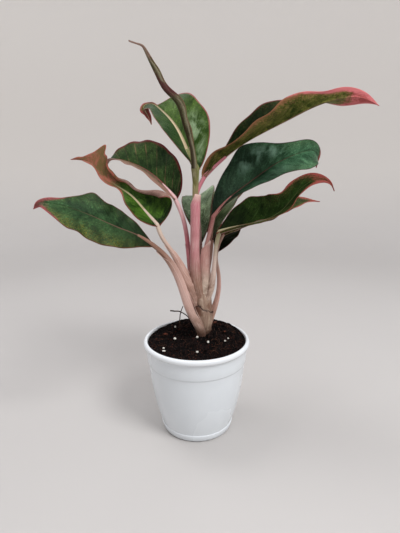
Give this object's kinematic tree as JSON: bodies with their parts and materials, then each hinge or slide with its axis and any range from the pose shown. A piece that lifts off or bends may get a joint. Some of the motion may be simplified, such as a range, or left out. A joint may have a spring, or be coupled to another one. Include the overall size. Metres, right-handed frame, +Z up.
{
  "type": "potted chinese evergreen",
  "caption": "Potted Chinese evergreen with one upright cane and dark green, pink-edged leaves on long clasping stalks in a glossy white plastic pot.",
  "frame": {"origin": "on the ground, at the centre of the pot's underside", "axes": "+Z up along the pot's axis and the cane, -Y towards the front, +X to the front's right"},
  "size_m": [0.317, 0.2193, 0.411],
  "materials": {
    "pot_plastic": "gloss",
    "soil": "matte",
    "cane_bark": "satin",
    "leaf": "satin",
    "perlite": "matte",
    "bark_chip": "matte",
    "dry_root": "matte"
  },
  "bodies": {
    "root": {"pot": "pot_plastic", "soil": "soil", "cane": "cane_bark", "leaf_01_spear": "leaf", "leaf_02_upper_left": "leaf", "leaf_03_upper_right": "leaf", "leaf_04_right_broad": "leaf", "leaf_05_lower_right": "leaf", "leaf_06_under_right": "leaf", "leaf_07_low_right": "leaf", "leaf_08_back_right": "leaf", "leaf_09_back": "leaf", "leaf_10_mid_left": "leaf", "leaf_11_left_arching": "leaf", "leaf_12_lower_left": "leaf", "perlite_01": "perlite", "perlite_02": "perlite", "perlite_03": "perlite", "perlite_04": "perlite", "perlite_05": "perlite", "perlite_06": "perlite", "perlite_07": "perlite", "perlite_08": "perlite", "perlite_09": "perlite", "bark_chip_1": "bark_chip", "bark_chip_2": "bark_chip", "bark_chip_3": "bark_chip", "dry_root_1": "dry_root", "dry_root_2": "dry_root"}
  },
  "joints": []
}
